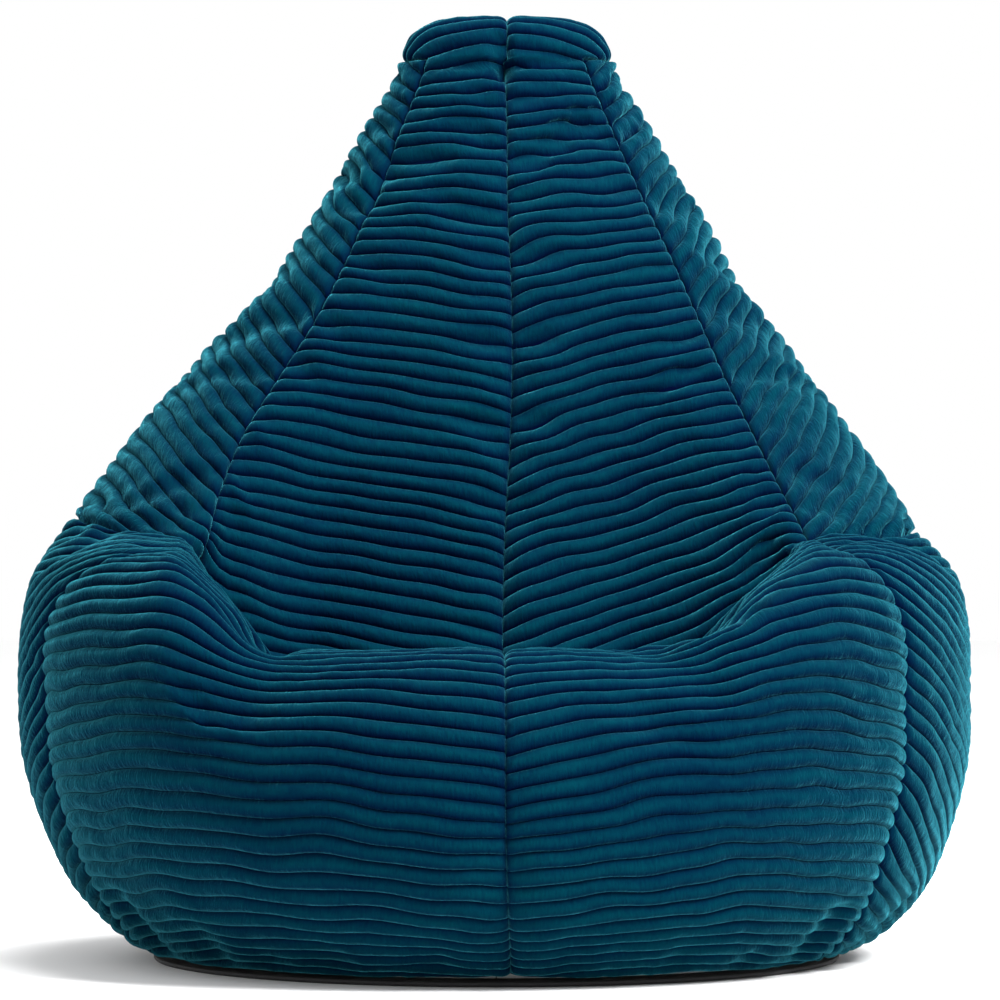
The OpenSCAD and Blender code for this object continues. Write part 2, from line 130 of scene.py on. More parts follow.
def outline(a, v, side):  # each section is an ellipse whose height varies round it
    hw, yF, yC, yR, zF, zS, zR = np.moveaxis(rowsAt(sections, v), -1, 0)
    r = np.radians(a)
    reach = np.where(a < 90, yC - yF, yR - yC)
    share = bag["riseShare"]
    rise = share * ease(*bag["armRise"][side], a) + (1 - share) * ease(46, 90, a)
    z = np.where(a < 90, zF + (zS - zF) * rise, zS + (zR - zS) * ease(90, bag["rearRise"], a))
    for which, a0, v0, da, dv, lift in bag["lifts"]:
        z = z + lift * (which == side) * np.exp(-((a - a0) / da) ** 2 - ((v - v0) / dv) ** 2)
    lean = rowsAt(bag["lean"], v) * (1 - ease(105, 150, a) * (1 - ease(21, 25, v)))
    return np.stack([lean + side * hw * np.sin(r), yC - reach * np.cos(r), z + 5.8 * np.clip(1 - z / 62, 0, 1)], -1)


def relief(p):  # what the folds and hollows add, outwards
    total = 0
    for start, end, width, height in folds:
        a, b = np.array(start, float), np.array(end, float)
        t = np.clip(((p - a) @ (b - a)) / ((b - a) @ (b - a)), 0, 1)
        gap = np.linalg.norm(p - (a + t[..., None] * (b - a)), axis=-1)
        total = total + height * np.exp(-(gap / width) ** 2)
    return total


def normals(points, side):  # cross product of the grid's two directions
    return unit(np.cross(np.gradient(points, axis=0), np.gradient(points, axis=1))) * side


# Where the seams lie: azimuth of each at section v.
def centreSeam(v, side):
    return side * rowsAt(seamAzimuth, v)


def lowerSeam(v, side):
    return rowsAt(bag["lowerSeam"][side], v)


def upperSeam(v, side):
    return rowsAt(bag["upperSeam"][side], v)


def faceSeam(v, side):
    return np.where(v < bag["crease"] + 1e-6, lowerSeam(v, side), upperSeam(v, side))


def rearSeam(v, side):
    return np.full_like(v, bag["rearSeam"])


def rearCentre(v, side):  # the rear seam, opened to a slot for the zip
    lo, hi = bag["slotRows"]
    slot = bag["slot"] * ease(lo - 0.15, lo + 0.02, v) * ease(-hi - 0.15, -hi + 0.02, -v)
    return 180 - np.degrees(np.arcsin(slot / rowsAt(sections[:, :1], np.clip(v, 0, 22))[..., 0]))


def between(first, last):  # a chart: share p of the way from one seam to the other, at section q
    def chart(p, q, side):
        lo, hi = first(q, side), last(q, side)
        return lo + (hi - lo) * p, q
    return chart


def overTheTop(p, q, side):  # the backrest's chart, which carries on over the head to its far edge
    cap, crown = bag["cap"], bag["crown"]
    low, high = np.minimum(q, cap), 2 * (np.clip(q, cap, crown) - cap) / (crown - cap) - 1
    a = centreSeam(low, side) + (upperSeam(low, side) - centreSeam(low, side)) * p
    # on the head: a disc patched from its four edges, the centre seam and three stretches of rim
    corner = np.radians(upperSeam(np.array(float(cap)), side))
    s, turned = (high + 1) / 2, corner + (np.pi - 2 * corner) * (high + 1) / 2
    sine, cosine = np.sin(corner * p), np.cos(corner * p)
    x = sine + p * (np.sin(turned) - np.sin(corner))
    y = (1 - s) * -cosine + s * cosine + (1 - p) * high - p * np.cos(turned) - (
        (1 - p) * high + p * np.cos(corner) * high)
    onHead = q > cap
    return (np.where(onHead, np.degrees(np.arctan2(x, -y)), a),
            np.where(onHead, crown - (crown - cap) * np.clip(np.hypot(x, y), 0, 1), q))


# The wales' slope in degrees: rows from the panel's foot to its head, values from its inner seam outwards.
# follow: how far, from foot to head, they keep to the panel's rows (or to the X axis) and not to the level.
panels = {
    "seat_panel": {"chart": between(centreSeam, lowerSeam), "rows": (0, 11),
                   "follow": {-1: [0, 0, 0.1, 0.8, 1], 1: [0, 0, 0.1, 0.4, 0.8]},
                   "slope": {-1: [[3, 0, -5], [7, 1, -10], [8, 0, -12], [4, 0, -6], [0, 0, 0]],
                             1: [[5, 1, -6], [12, 2, -12], [12, 0, -14], [6, -4, -12], [0, 0, -6]]}},
    "side_panel": {"chart": between(lowerSeam, rearSeam), "rows": (0, 11),
                   "follow": {-1: [0, 0, 0.5, 1], 1: [0, 0, 0.5, 1]},
                   "slope": {-1: [[-22, -12, 0], [-32, -20, -4], [-38, -24, -6], [-52, -32, -8]],
                             1: [[-22, -12, 0], [-32, -20, -4], [-36, -22, -6], [-44, -26, -8]]}},
    "backrest_panel": {"chart": overTheTop, "rows": (11, 25), "toX": True,
                       "follow": {-1: [0, 0, 0, 0.2, 1, 1], 1: [0, 0, 0, 0.2, 1, 1]},
                       "slope": {-1: [[9, 9, 9], [10, 10, 9], [8, 8, 6], [1, 1, 0], [0, 0, 0], [0, 0, 0]],
                                 1: [[15, 14, 14], [19, 18, 17], [16, 15, 14], [6, 6, 5], [2, 1, 0], [0, 0, 0]]}},
    "wing_panel": {"chart": between(upperSeam, rearSeam), "rows": (11, 21), "follow": {-1: [0, 0], 1: [0, 0]},
                   "slope": {-1: [[48, 34, 8, 0], [42, 28, 6, 0], [26, 16, 4, 0]],
                             1: [[50, 36, 8, 0], [44, 30, 6, 0], [30, 18, 4, 0]]}},
    "rear_panel": {"chart": between(rearSeam, rearCentre), "rows": (0, 21), "follow": {-1: [0, 0], 1: [0, 0]},
                   "slope": {-1: [[0, 0, 0], [4, 0, -4], [0, 0, 0]], 1: [[0, 0, 0], [4, 0, -4], [0, 0, 0]]}}}

cloth = {"columns": (14, 16, 10), "perSection": 4, "frames": 20, "pressure": 4.0, "cap": 10.0, "slack": -0.02,
         "flatten": 0.75, "spread": 30, "push": {}}


def clothColumn(a, v, side):  # column of the cloth's grid at azimuth a
    nFace, nSide, nRear = cloth["columns"]
    c, f, r = centreSeam(v, side), faceSeam(v, side), bag["rearSeam"]
    return np.where(a < f, nFace * (a - c) / (f - c), np.where(a < r, nFace + nSide * (a - f) / (r - f),
                                                                nFace + nSide + nRear * (a - r) / (180 - r)))


def inflate():
    # One closed grid for the whole cover, pinned along its seams and blown up a little: the panels
    # between the seams crown and pucker. What it moved is kept as a grid of offsets for each side.
    nFace, nSide, nRear = cloth["columns"]
    rows = bag["cap"] * cloth["perSection"] + 1
    v = np.linspace(0, bag["cap"], rows)
    grids = {}
    for side in (1, -1):
        stops = [centreSeam(v, side), faceSeam(v, side), rearSeam(v, side), np.full_like(v, 180.0)]
        a = np.concatenate([stops[k] + (stops[k + 1] - stops[k]) * np.linspace(0, 1, n + 1)[int(k > 0):, None]
                            for k, n in enumerate((nFace, nSide, nRear))])
        p = outline(a, np.broadcast_to(v, a.shape), side)
        grids[side] = p + normals(p, side) * relief(p)[..., None]
    last = nFace + nSide + nRear
    ring = np.concatenate([grids[1], grids[-1][1:-1][::-1]])
    count = len(ring)
    ids = np.arange(count * rows).reshape(count, rows)
    nxt = np.roll(ids, -1, axis=0)
    quads = np.stack([ids[:, :-1], nxt[:, :-1], nxt[:, 1:], ids[:, 1:]], -1).reshape(-1, 4)
    ends = [len(ids) * rows, len(ids) * rows + 1]
    verts = np.concatenate([ring.reshape(-1, 3), [ring[:, 0].mean(0), ring[:, -1].mean(0)]])
    caps = [(ends[0], nxt[i, 0], ids[i, 0]) for i in range(count)]
    caps += [(ends[1], ids[i, -1], nxt[i, -1]) for i in range(count)]
    mesh = bpy.data.meshes.new("inflated")
    mesh.from_pydata((verts * mm).tolist(), [], quads.tolist() + caps)
    obj = bpy.data.objects.new("inflated", mesh)
    bpy.context.scene.collection.objects.link(obj)
    group = obj.vertex_groups.new(name="sewn")
    seams = [0, nFace, nFace + nSide, last, count - nFace, count - nFace - nSide]
    pinned = np.zeros((count, rows), bool)
    pinned[seams] = True
    pinned[:, [0, -1]] = True
    pinned[:, bag["crease"] * cloth["perSection"]] = True
    group.add(ids[pinned].tolist() + ends, 1.0, "REPLACE")
    modifier = obj.modifiers.new("inflate", "CLOTH")
    s = modifier.settings
    s.vertex_group_mass = "sewn"
    s.use_pressure, s.uniform_pressure_force = True, cloth["pressure"]
    s.shrink_min = cloth["slack"]
    s.quality, s.mass = 6, 0.3
    s.tension_stiffness = s.compression_stiffness = 12
    s.shear_stiffness, s.bending_stiffness = 4, 0.6
    s.effector_weights.gravity = 0
    modifier.point_cache.frame_start, modifier.point_cache.frame_end = 1, cloth["frames"]
    for f in range(1, cloth["frames"] + 1):
        bpy.context.scene.frame_set(f)
    shaped = obj.evaluated_get(bpy.context.evaluated_depsgraph_get()).data
    after = np.empty(len(verts) * 3, np.float32)
    shaped.vertices.foreach_get("co", after)
    bpy.context.scene.frame_set(1)
    bpy.data.objects.remove(obj)
    push = after.reshape(-1, 3)[:count * rows].reshape(count, rows, 3) / mm - ring
    far = np.linalg.norm(push, axis=-1, keepdims=True)
    print("cloth moved", far.mean().round(2), "mm on average,", far.max().round(2), "at most")
    push = push * np.minimum(1, cloth["cap"] / np.maximum(far, 1e-6))
    # keep the wrinkles but only part of the broad bulge: each offset less a share of its neighbourhood's mean
    broad = push.copy()
    for _ in range(cloth["spread"]):
        broad = (np.roll(broad, 1, 0) + np.roll(broad, -1, 0) + np.concatenate([broad[:, :1], broad[:, :-1]], 1)
                 + np.concatenate([broad[:, 1:], broad[:, -1:]], 1)) / 4
    push = (push - cloth["flatten"] * broad) * (ease(0, 1, v) * ease(-bag["cap"], 1.5 - bag["cap"], -v))[None, :, None]
    cloth["push"] = {1: push[:last + 1], -1: np.concatenate([push[:1], push[last:][::-1]])}


def body(a, v, side):  # the cover's outside, over the tops of its wales
    p = outline(a, v, side)
    if cloth["push"]:
        calm = 1 - ease(154, 168, a) * ease(3.5, 5, v) * 0.9
        row = np.minimum(v, bag["cap"]) * cloth["perSection"]
        p = p + gridAt(cloth["push"][side], clothColumn(a, v, side), row) * calm[..., None]
    return p


def outward(a, v, side, form=body, wide=1):
    # normal where the chart may be folded up: the cross product of small steps both ways
    da, dv = 0.5 * wide, 0.02 * wide
    v = np.clip(v, dv, bag["crown"] - 0.05)
    across, along = form(a + da, v, side) - form(a - da, v, side), form(a, v + dv, side) - form(a, v - dv, side)
    return unit(np.cross(across, along)) * side


def surface(spec, side, spacing=3.6):
    # a panel's regular grid of points and normals, a little past its seams
    q0, q1 = spec["rows"]
    q0, q1 = q0 - cord["tuck"] * (q0 == bag["crease"]), q1 + cord["tuck"] * (q1 == bag["crease"])
    middle = body(*spec["chart"](np.linspace(0, 1, 50), np.full(50, (q0 + q1) / 2), side), side)
    upright = body(*spec["chart"](np.full(90, 0.5), np.linspace(q0, q1, 90), side), side)
    wide, tall = (np.linalg.norm(np.diff(x, axis=0), axis=1).sum() for x in (middle, upright))
    over = 0.3 / wide
    p, q = np.meshgrid(np.linspace(-over, 1 + over, int(wide / spacing)), np.linspace(q0, q1, int(tall / spacing)),
                       indexing="ij")
    points = body(*spec["chart"](p, q, side), side)
    a, v = spec["chart"](p, q, side)
    plain = outward(a, v, side)
    points = points + plain * relief(points)[..., None]
    flat = normals(points, side)
    # at its seams a panel dips along the plain body's normal, which its neighbour shares
    toSeam = np.minimum(np.minimum(p, 1 - p) * wide, np.minimum(q - q0, q1 - q) / (q1 - q0) * tall)[..., None]
    shared = np.exp(-(toSeam / 9) ** 2)
    way = np.where(((flat * plain).sum(-1) > 0.6)[..., None], flat, plain)
    return points, unit(way * (1 - shared) + outward(a, v, side, outline) * shared), wide


def walePhase(spec, side, points, flat, size=(33, 45)):
    # The distance field whose level lines are the wales: the least-squares fit of a height to the
    # wanted unit gradient on a coarse grid, solved by conjugate gradients.
    gx, gy = np.meshgrid(np.linspace(0, len(points) - 1, size[0]), np.linspace(0, points.shape[1] - 1, size[1]),
                         indexing="ij")
    pts, n = gridAt(points, gx, gy), unit(gridAt(flat, gx, gy))
    slopes = np.array(spec["slope"][side], float)
    beta = gridAt(slopes.T, gx / gx.max() * (slopes.shape[1] - 1), gy / gy.max() * (slopes.shape[0] - 1))
    beta, follow = np.radians(beta), np.array(spec["follow"][side], float)[None]
    follow = gridAt(follow, 0 * gx, gy / gy.max() * (follow.shape[1] - 1))[..., None]
    rowWay = unit(np.gradient(pts, axis=0))
    level = np.cross([0.0, 0, 1], n)
    level /= np.maximum(np.linalg.norm(level, axis=-1, keepdims=True), 0.35)
    level *= np.sign((level * rowWay).sum(-1, keepdims=True))
    kept = unit(side * (np.array([1.0, 0, 0]) - n[..., :1] * n)) if spec.get("toX") else rowWay
    level = unit(follow * kept + (1 - follow) * level)
    up = np.cross(n, level) * side
    g = up * np.cos(beta)[..., None] - level * np.sin(beta)[..., None]
    dP, dV = np.diff(pts, axis=0), np.diff(pts, axis=1)
    wantP, wantV = ((g[1:] + g[:-1]) / 2 * dP).sum(-1), ((g[:, 1:] + g[:, :-1]) / 2 * dV).sum(-1)
    lenP, lenV = np.linalg.norm(dP, axis=-1) + 1, np.linalg.norm(dV, axis=-1) + 1
    wP = np.pad((lenV[1:] + lenV[:-1]) / 2, ((0, 0), (0, 1)), mode="edge") / lenP
    wV = np.pad((lenP[:, 1:] + lenP[:, :-1]) / 2, ((0, 1), (0, 0)), mode="edge") / lenV

    def gather(flowP, flowV):  # sums each edge's flow into its two ends
        out = np.zeros(size)
        out[1:] += flowP
        out[:-1] -= flowP
        out[:, 1:] += flowV
        out[:, :-1] -= flowV
        return out

    x, r = np.zeros(size), gather(wP * wantP, wV * wantV)
    d, rr = r.copy(), (r * r).sum()
    for _ in range(700):
        w = gather(wP * np.diff(d, axis=0), wV * np.diff(d, axis=1))
        step = rr / (d * w).sum()
        x, r = x + step * d, r - step * w
        new = (r * r).sum()
        if new < 1e-7:
            break
        d, rr = r + new / rr * d, new
    return x - x[0, 0]


def panelMesh(spec, side):
    # the panel's surface sunk by seamDepth at its edges and by cord["depth"] in the grooves, where the
    # wale's height over one pitch f is (1 - |2f - 1|^2.1)^0.7; vertices lie on level lines of the field
    points, flat, wide = surface(spec, side)
    field = walePhase(spec, side, points, flat)
    pitch, (nx, ny) = cord["pitch"], points.shape[:2]
    columns = int(wide / cord["step"])
    ends = np.array([0, 0.6, 1.4, 2.6, 4.2, 6.2, 9]) / wide  # short steps beside the seams
    p = np.concatenate([ends, np.linspace(ends[-1], 1 - ends[-1], columns)[1:-1], 1 - ends[::-1]])
    columns = len(p)
    dense = np.linspace(0, 1, cord["samples"])
    middle = len(dense) // 2
    gx, gy = np.meshgrid(p, dense, indexing="ij")
    phase = gridAt(field, gx * (len(field) - 1), gy * (field.shape[1] - 1))
    base = gridAt(points, gx * (nx - 1), gy * (ny - 1))
    phase = phase + 1.6 * ripple(base, 150, 5 + side) + 0.8 * ripple(base, 62, 9 + side)
    # from its middle out, up and down each column, the field must change by at least this share of the way
    grow = np.maximum(np.diff(phase, axis=1), cord["leastRise"] * np.linalg.norm(np.diff(base, axis=1), axis=-1) + 1e-6)
    grown = np.concatenate([np.zeros((columns, 1)), np.cumsum(grow, axis=1)], axis=1)
    phase = phase[:, middle:middle + 1] + grown - grown[:, middle:middle + 1]
    lo, hi = np.floor(phase.min() / pitch), np.ceil(phase.max() / pitch)
    levels = np.append((np.arange(lo, hi)[:, None] + cord["phases"]).ravel(), hi)
    shift = ((phase.max() - phase.min() + 4 * pitch) * np.arange(columns))[:, None]
    target = np.clip(levels[None] * pitch, phase[:, :1], phase[:, -1:])
    t = np.interp((target + shift).ravel(), (phase + shift).ravel(), np.tile(dense, columns)).reshape(target.shape)
    gx = np.broadcast_to(p[:, None], t.shape) * (nx - 1)
    pts, out = gridAt(points, gx, t * (ny - 1)), unit(gridAt(flat, gx, t * (ny - 1)))
    # distance to the nearest seam, and how far the cord stands up there
    steps = np.linalg.norm(np.diff(pts, axis=0), axis=-1)
    along = np.concatenate([np.zeros((1, t.shape[1])), np.cumsum(steps, axis=0)])
    toSeam = np.minimum(along, along[-1:] - along)
    toEdge = np.minimum(target - phase[:, :1], phase[:, -1:] - target)
    rise = (np.sqrt(1 - (1 - np.clip(toSeam / cord["endLength"], 0, 1)) ** 2)
            * np.sqrt(1 - (1 - np.clip(toEdge / 5, 0, 1)) ** 2))
    wale = np.clip(1 - np.abs(2 * (levels % 1) - 1) ** 2.1, 0, 1) ** 0.7  # a wale over one pitch, 0 in the groove
    height = wale[None] * rise
    lump = 1 + 0.05 * ripple(pts, 34, 21) + 0.03 * ripple(pts, 15, 22)
    drop = cord["seamDepth"] * (1 - rise) + cord["depth"] * (rise - height * lump) + 0.5
    pts = pts - out * drop[..., None]
    # join what was clipped to the panel's lower and upper edge, column by column
    low, high = t <= 1e-9, t >= 1 - 1e-9
    inside = ~(low | high)
    ids = np.where(low, np.arange(columns)[:, None], columns + np.arange(columns)[:, None])
    ids[inside] = 2 * columns + np.arange(inside.sum())
    ordered = lambda x: np.concatenate([x[:, 0], x[:, -1], x[inside]])
    quads = [np.stack([ids[:-1, :-1], ids[1:, :-1], ids[1:, 1:], ids[:-1, 1:]], -1).reshape(-1, 4)]
    # the inner face: a coarse sheet under the outer one, joined along all four edges
    rowsIn = max(int(ny / 6), 8)
    gx, gy = np.meshgrid(p, np.linspace(0, 1, rowsIn), indexing="ij")
    gx, gy = gx * (nx - 1), gy * (ny - 1)
    inner = gridAt(points, gx, gy) - unit(gridAt(flat, gx, gy)) * cord["inner"]
    under = 2 * columns + inside.sum() + np.arange(columns * rowsIn).reshape(columns, rowsIn)
    quads += [np.stack([under[:-1, :-1], under[:-1, 1:], under[1:, 1:], under[1:, :-1]], -1).reshape(-1, 4),
              np.stack([ids[1:, 0], ids[:-1, 0], under[:-1, 0], under[1:, 0]], -1),
              np.stack([ids[:-1, -1], ids[1:, -1], under[1:, -1], under[:-1, -1]], -1)]
    tris = [np.concatenate([s[:, [0, 1, 2]], s[:, [0, 2, 3]]]) for s in quads]
    for column in (0, -1):
        m = np.round(t[column] * (rowsIn - 1)).astype(int)
        k = np.searchsorted(m, np.arange(1, rowsIn))
        wall = np.concatenate([np.stack([ids[column, :-1], ids[column, 1:], under[column][m[:-1]]], -1),
                               np.stack([under[column, :-1], ids[column][k], under[column, 1:]], -1)])
        tris.append(wall[:, ::-1] if column else wall)
    tris = np.concatenate(tris)
    tris = tris[(tris[:, 0] != tris[:, 1]) & (tris[:, 1] != tris[:, 2]) & (tris[:, 0] != tris[:, 2])]
    blank = np.zeros(under.size)
    return {"verts": np.concatenate([ordered(pts), inner.reshape(-1, 3)]), "faces": tris if side > 0 else tris[:, ::-1],
            "uvs": np.concatenate([ordered(np.stack([along, target], -1)), np.stack([blank, blank], -1)]),
            "crest": np.append(ordered(height), blank)}


def makeObject(name, verts, faces, uvs=None, crest=None, merge=0):
    mesh = bpy.data.meshes.new(name)
    mesh.vertices.add(len(verts))
    mesh.vertices.foreach_set("co", (np.asarray(verts) * mm).astype(np.float32).ravel())
    mesh.loops.add(faces.size)
    mesh.loops.foreach_set("vertex_index", faces.astype(np.int32).ravel())
    mesh.polygons.add(len(faces))
    mesh.polygons.foreach_set("loop_start", (np.arange(len(faces)) * faces.shape[1]).astype(np.int32))
    mesh.update(calc_edges=True)
    if uvs is not None:
        mesh.uv_layers.new(name="weave").data.foreach_set("uv", (uvs[faces.ravel()] * mm).astype(np.float32).ravel())
    if crest is not None:
        mesh.attributes.new("crest", "FLOAT", "POINT").data.foreach_set("value", crest.astype(np.float32))
    if merge:
        work = bmesh.new()
        work.from_mesh(mesh)
        bmesh.ops.remove_doubles(work, verts=work.verts, dist=merge * mm)
        bmesh.ops.dissolve_degenerate(work, edges=work.edges, dist=merge * mm)
        work.to_mesh(mesh)
        work.free()
    mesh.validate()
    mesh.shade_smooth()
    obj = bpy.data.objects.new(name, mesh)
    bpy.context.scene.collection.objects.link(obj)
    return obj


def slab(top, bottom):  # two grids of points joined along their edges into one closed form
    m, n = top.shape[:2]
    a = np.arange(m * n).reshape(m, n)
    b = a + m * n

    def strip(p, q):
        return np.stack([p[:-1], p[1:], q[1:], q[:-1]], -1)

    faces = [np.stack([a[:-1, :-1], a[1:, :-1], a[1:, 1:], a[:-1, 1:]], -1).reshape(-1, 4),
             np.stack([b[:-1, :-1], b[:-1, 1:], b[1:, 1:], b[1:, :-1]], -1).reshape(-1, 4),
             strip(b[:, 0], a[:, 0]), strip(a[:, -1], b[:, -1]), strip(a[0], b[0]), strip(b[-1], a[-1])]
    return {"verts": np.concatenate([top.reshape(-1, 3), bottom.reshape(-1, 3)]), "faces": np.concatenate(faces)}


def halved(quads):  # each quad as two triangles
    return np.concatenate([quads[:, [0, 1, 2]], quads[:, [0, 2, 3]]])


def finishPiece(obj, bodyName, nodes, material):
    obj.data.materials.append(material)
    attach(obj, bodyName)
    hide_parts(*nodes)
    return obj


# Materials: expressions on sockets, and one method that makes any node.
class Sock:
    def __init__(self, tree, socket):
        self.tree, self.socket = tree, socket

    def maths(self, operation, other, swap=False):
        values = (other, self) if swap else (self, other)
        return self.tree.node("ShaderNodeMath", {"operation": operation}, {0: values[0], 1: values[1]})

    def __add__(self, other): return self.maths("ADD", other)
    def __sub__(self, other): return self.maths("SUBTRACT", other)
    def __rsub__(self, other): return self.maths("SUBTRACT", other, True)
    def __mul__(self, other): return self.maths("MULTIPLY", other)


class Shader:
    def __init__(self, name, base, rough=0.9, **fixed):
        self.material = bpy.data.materials.new(name)
        self.material.use_nodes = True
        self.tree = self.material.node_tree
        self.surface = next(n for n in self.tree.nodes if n.type == "BSDF_PRINCIPLED")
        self.surface.inputs["Base Color"].default_value = (*base, 1)
        self.surface.inputs["Roughness"].default_value = rough
        for key, value in fixed.items():
            self.surface.inputs[key.replace("_", " ")].default_value = value

    def node(self, kind, settings, values, output=0):
        made = self.tree.nodes.new(kind)
        for key, value in settings.items():
            if key == "stops":
                ramp = made.color_ramp
                for i, (at, colour) in enumerate(value):
                    stop = ramp.elements[i] if i < 2 else ramp.elements.new(at)
                    stop.position, stop.color = at, (*colour, 1)
            else:
                setattr(made, key, value)
        for key, value in values.items():
            if isinstance(value, Sock):
                self.tree.links.new(value.socket, made.inputs[key])
            else:
                made.inputs[key].default_value = value
        return Sock(self, made.outputs[output])

    def coordinates(self):
        return self.node("ShaderNodeTexCoord", {}, {}, "Object")

    def weave(self):
        return self.node("ShaderNodeUVMap", {"uv_map": "weave"}, {})

    def crest(self):
        return self.node("ShaderNodeAttribute", {"attribute_name": "crest"}, {}, "Fac")

    def scaled(self, vector, scale):
        return self.node("ShaderNodeMapping", {}, {"Vector": vector, "Scale": scale})

    def noise(self, vector, scale, detail=2.0, rough=0.5):
        return self.node("ShaderNodeTexNoise", {}, {"Vector": vector, "Scale": scale, "Detail": detail,
                                                    "Roughness": rough}, "Fac")

    def wave(self, vector, scale, direction):
        return self.node("ShaderNodeTexWave", {"bands_direction": direction}, {"Vector": vector, "Scale": scale}, "Fac")

    def cells(self, vector, scale):
        return self.node("ShaderNodeTexVoronoi", {}, {"Vector": vector, "Scale": scale}, "Distance")

    def ramp(self, value, stops):
        return self.node("ShaderNodeValToRGB", {"stops": stops}, {0: value})

    def feed(self, name, value):
        self.tree.links.new(value.socket, self.surface.inputs[name])

    def bump(self, height, distance, strength=1.0):
        self.feed("Normal", self.node("ShaderNodeBump", {}, {"Height": height, "Distance": distance,
                                                              "Strength": strength}))


def cordMaterial():
    s = Shader("corded velour", (0.0004, 0.05, 0.08), 0.9, Sheen_Weight=0.34, Sheen_Roughness=0.3,
               Sheen_Tint=(0.12, 0.82, 1.0, 1), Specular_IOR_Level=0.004)
    uv, crest = s.weave(), s.crest()
    pile = s.noise(s.scaled(uv, (460, 110, 1)), 1, 4, 0.65)  # strands lying across the wale
    clumps = s.noise(s.scaled(uv, (120, 90, 1)), 1, 2)
    strokes = s.noise(s.scaled(uv, (11, 62, 1)), 1, 1)  # each wale brushed its own way
    patches = s.noise(s.coordinates(), 7, 2)
    # across: the place within each wale's pitch, 0 at its lower groove; in the tone below it paints each wale's lower
    # side darker and bluer, a painted shade of light falling from above
    across = s.node("ShaderNodeSeparateXYZ", {}, {0: uv}, 1).maths("DIVIDE", cord["pitch"] * mm).maths("FRACT", 0)
    # painted shade: the tone falls, and the ramp turns dark navy, in the grooves and towards the seams where the wale
    # height (crest) falls, and on each wale's lower side; pile, clumps, strokes and patches add the cloth's own uneven
    # tone
    toneAndPaintedShade = crest * 0.46 + across * 0.26 + pile * 0.34 + clumps * 0.16 + strokes * 0.22 + patches * 0.22 - 0.42
    s.feed("Base Color", s.ramp(toneAndPaintedShade, [(0.0, (0.0001, 0.0006, 0.008)), (0.3, (0.0001, 0.0028, 0.014)),
                                       (0.55, (0.0001, 0.0095, 0.022)), (0.9, (0.0002, 0.027, 0.038))]))
    s.feed("Roughness", pile * 0.15 + 0.8)
    s.bump(pile * 0.8 + clumps * 0.8, 0.0016, 0.8)
    return s.material


def plainWeave(name, dark, light, threads, rough=0.85, bump=0.0004, **fixed):  # two crossed waves of threads
    s = Shader(name, light, rough, **fixed)
    c = s.coordinates()
    weft = s.wave(c, threads, "X") * s.wave(c, threads, "Z") + s.wave(c, threads, "Y") * 0.4
    mix = weft * 0.5 + s.noise(c, threads * 0.7, 3) * 0.5
    s.feed("Base Color", s.ramp(mix, [(0.15, dark), (0.75, light)]))
    s.bump(weft, bump, 0.6)
    return s.material


def beadMaterial():
    s = Shader("foam beads", (0.85, 0.85, 0.84), 0.6, Subsurface_Weight=0.1)
    cell = s.cells(s.coordinates(), 230)
    s.feed("Base Color", s.ramp(cell, [(0.1, (0.88, 0.88, 0.87)), (0.6, (0.55, 0.56, 0.58))]))
    s.bump(1 - cell, 0.002, 0.9)
    return s.material


print("materials")
corduroy = cordMaterial()
baseCloth = plainWeave("coated base cloth", (0.002, 0.002, 0.0025), (0.012, 0.012, 0.014), 190, 0.7)
linerCloth = plainWeave("liner cloth", (0.38, 0.38, 0.37), (0.55, 0.55, 0.54), 260, 0.8)
beads = beadMaterial()

print("cloth")
inflate()
print("cloth done", round(time.time() - started, 1), "s")

print("cover panels")
for name, spec in panels.items():
    for side in (-1, 1):
        label = name + "_" + sideName[side]
        shape = panelMesh(spec, side)
        panel = finishPiece(makeObject("cover_" + label, **shape), "bag", [label], corduroy)
        print(label, len(shape["faces"]), "faces", round(time.time() - started, 1), "s")


def layerPoint(a, v, side, deep, floor):  # a point below the cover, with its underside at height floor
    p = body(a, np.clip(v, 0, bag["crown"] - 1e-6), side)
    flat, deep = outward(a, np.minimum(v, bag["crown"] - 0.4), side, outline, 3), (deep + 0 * v)[..., None]
    p = p + flat * relief(p)[..., None]
    foot = np.array([0.0, sections[0, 2], 0.0])
    inward = unit((p - foot) * [1, 1, 0]) * deep * 1.3
    q = np.where((v > 0.01)[..., None], p - flat * deep, p - inward)
    q[..., 2] = np.maximum(q[..., 2], floor)
    crown = outline(np.array(90.0), np.array(24.9999), 1) - deep * [0, 0, 1]
    q = np.where((v > bag["crown"] - 0.01)[..., None], crown, q)
    return np.where((v < -0.5)[..., None], foot + [0, 0, floor], q)


def layerDepth(a):  # the liner lies closest to the cover behind the zip
    return 8.6 + 2.6 * (1 - ease(135, 155, a))


print("liner and filling")
lining = {"columns": 121, "first": 0.1, "slot": 5, "slotRows": (7, 15), "floor": 7.2, "thick": 1, "beads": 2,
          "hollow": 3.5}
rowPlaces = np.concatenate([[-1], np.linspace(0, 9, 46), np.linspace(9.1, 13, 40), np.linspace(13.2, 21, 36),
                            np.linspace(21.3, 25, 12)])
for side in (-1, 1):
    a, v = np.meshgrid(np.linspace(0, 1, lining["columns"]), rowPlaces, indexing="ij")
    lo, hi = lining["slotRows"]
    slot = lining["slot"] * ease(lo - 0.1, lo + 0.05, v) * ease(-hi - 0.1, -hi + 0.05, -v)
    top = 180 - np.degrees(np.arcsin(slot / rowsAt(sections[:, :1], np.clip(v, 0, 22))[..., 0]))
    a = lining["first"] + (top - lining["first"]) * a
    deep = layerDepth(a)
    outer = layerPoint(a, v, side, deep, lining["floor"])
    inner = layerPoint(a, v, side, deep + lining["thick"], lining["floor"] + lining["thick"])
    shape = slab(outer, inner) if side > 0 else slab(inner, outer)
    liner = makeObject("liner_" + sideName[side], **shape, merge=0.02)
    finishPiece(liner, "bag", ["inner_liner_" + sideName[side]], linerCloth)

